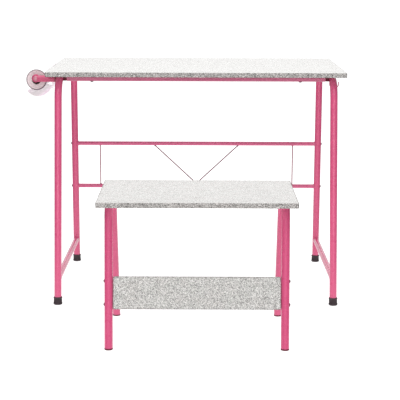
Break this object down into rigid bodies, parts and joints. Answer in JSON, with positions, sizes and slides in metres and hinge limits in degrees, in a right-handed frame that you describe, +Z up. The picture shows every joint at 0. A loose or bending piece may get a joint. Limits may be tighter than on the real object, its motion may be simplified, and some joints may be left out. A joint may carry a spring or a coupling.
{
  "type": "craft desk and bench set",
  "caption": "Child-height craft desk with a speckled laminate top on bent pink tube legs, a paper roll on a side rod, wire-braced rear rails and a matching bench with a front board.",
  "frame": {"origin": "bottom centre of the bounding box of the desk, bench and paper roll as they stand, on the floor", "axes": "+X to the sitter's right along the desk's width, +Y away from the sitter from the bench towards the desk's rear rails, +Z up"},
  "size_m": [0.9704, 1.1106, 0.71],
  "materials": {
    "pink_paint": "gloss powder coat",
    "pink_paint_rail": "gloss powder coat",
    "speckled_laminate": "matt white laminate with grey speckle, on particle board",
    "black_rubber": "matt",
    "black_plastic": "satin",
    "dark_plated_steel": "dark plated",
    "white_paper": "matt",
    "grey_cardboard": "matt"
  },
  "bodies": {
    "desk": {"desk_top": "speckled_laminate", "desk_side_frame_left": "pink_paint", "desk_side_frame_right": "pink_paint", "desk_stretcher_left": "pink_paint", "desk_stretcher_right": "pink_paint", "desk_apron_rail": "pink_paint_rail", "desk_apron_saddle_left": "black_plastic", "desk_apron_saddle_right": "black_plastic", "desk_apron_screw_left": "dark_plated_steel", "desk_apron_screw_right": "dark_plated_steel", "desk_top_screw_front_left": "dark_plated_steel", "desk_top_screw_front_right": "dark_plated_steel", "desk_top_screw_rear_left": "dark_plated_steel", "desk_top_screw_rear_right": "dark_plated_steel", "desk_rear_rail_upper": "pink_paint_rail", "desk_rear_rail_lower": "pink_paint_rail", "desk_rail_bolt_upper_left": "dark_plated_steel", "desk_rail_bolt_upper_right": "dark_plated_steel", "desk_rail_bolt_lower_left": "dark_plated_steel", "desk_rail_bolt_lower_right": "dark_plated_steel", "desk_truss_post_left": "pink_paint_rail", "desk_truss_post_right": "pink_paint_rail", "desk_truss_v_wire": "pink_paint_rail", "desk_foot_cap_front_left": "black_rubber", "desk_foot_cap_front_right": "black_rubber", "desk_foot_cap_rear_left": "black_rubber", "desk_foot_cap_rear_right": "black_rubber", "desk_side_hook": "pink_paint", "roll_arm_front": "pink_paint", "roll_arm_rear": "pink_paint", "roll_rod": "pink_paint", "roll_rod_cap_front": "pink_paint", "roll_rod_cap_rear": "pink_paint", "roll_loose_sheet": "white_paper"},
    "paper_roll": {"roll_core": "grey_cardboard", "roll_paper": "white_paper"},
    "bench": {"bench_seat": "speckled_laminate", "bench_side_frame_left": "pink_paint", "bench_side_frame_right": "pink_paint", "bench_front_board": "speckled_laminate", "bench_board_bolt_upper_left": "dark_plated_steel", "bench_board_bolt_upper_right": "dark_plated_steel", "bench_board_bolt_lower_left": "dark_plated_steel", "bench_board_bolt_lower_right": "dark_plated_steel", "bench_foot_plug_front_left": "black_plastic", "bench_foot_plug_front_right": "black_plastic", "bench_foot_plug_rear_left": "black_plastic", "bench_foot_plug_rear_right": "black_plastic", "bench_seat_screw_front_left": "dark_plated_steel", "bench_seat_screw_front_right": "dark_plated_steel", "bench_seat_screw_rear_left": "dark_plated_steel", "bench_seat_screw_rear_right": "dark_plated_steel"}
  },
  "joints": [
    {"name": "paper_roll_spin", "type": "hinge", "parent": "desk", "child": "paper_roll", "pos_m": [-0.45375, 0.24298, 0.6785], "axis": [0, 1, 0], "continuous": true},
    {"name": "bench_slide", "type": "slide", "parent": "desk", "child": "bench", "axis": [0, 1, 0], "range_m": [0, 0.498]}
  ]
}
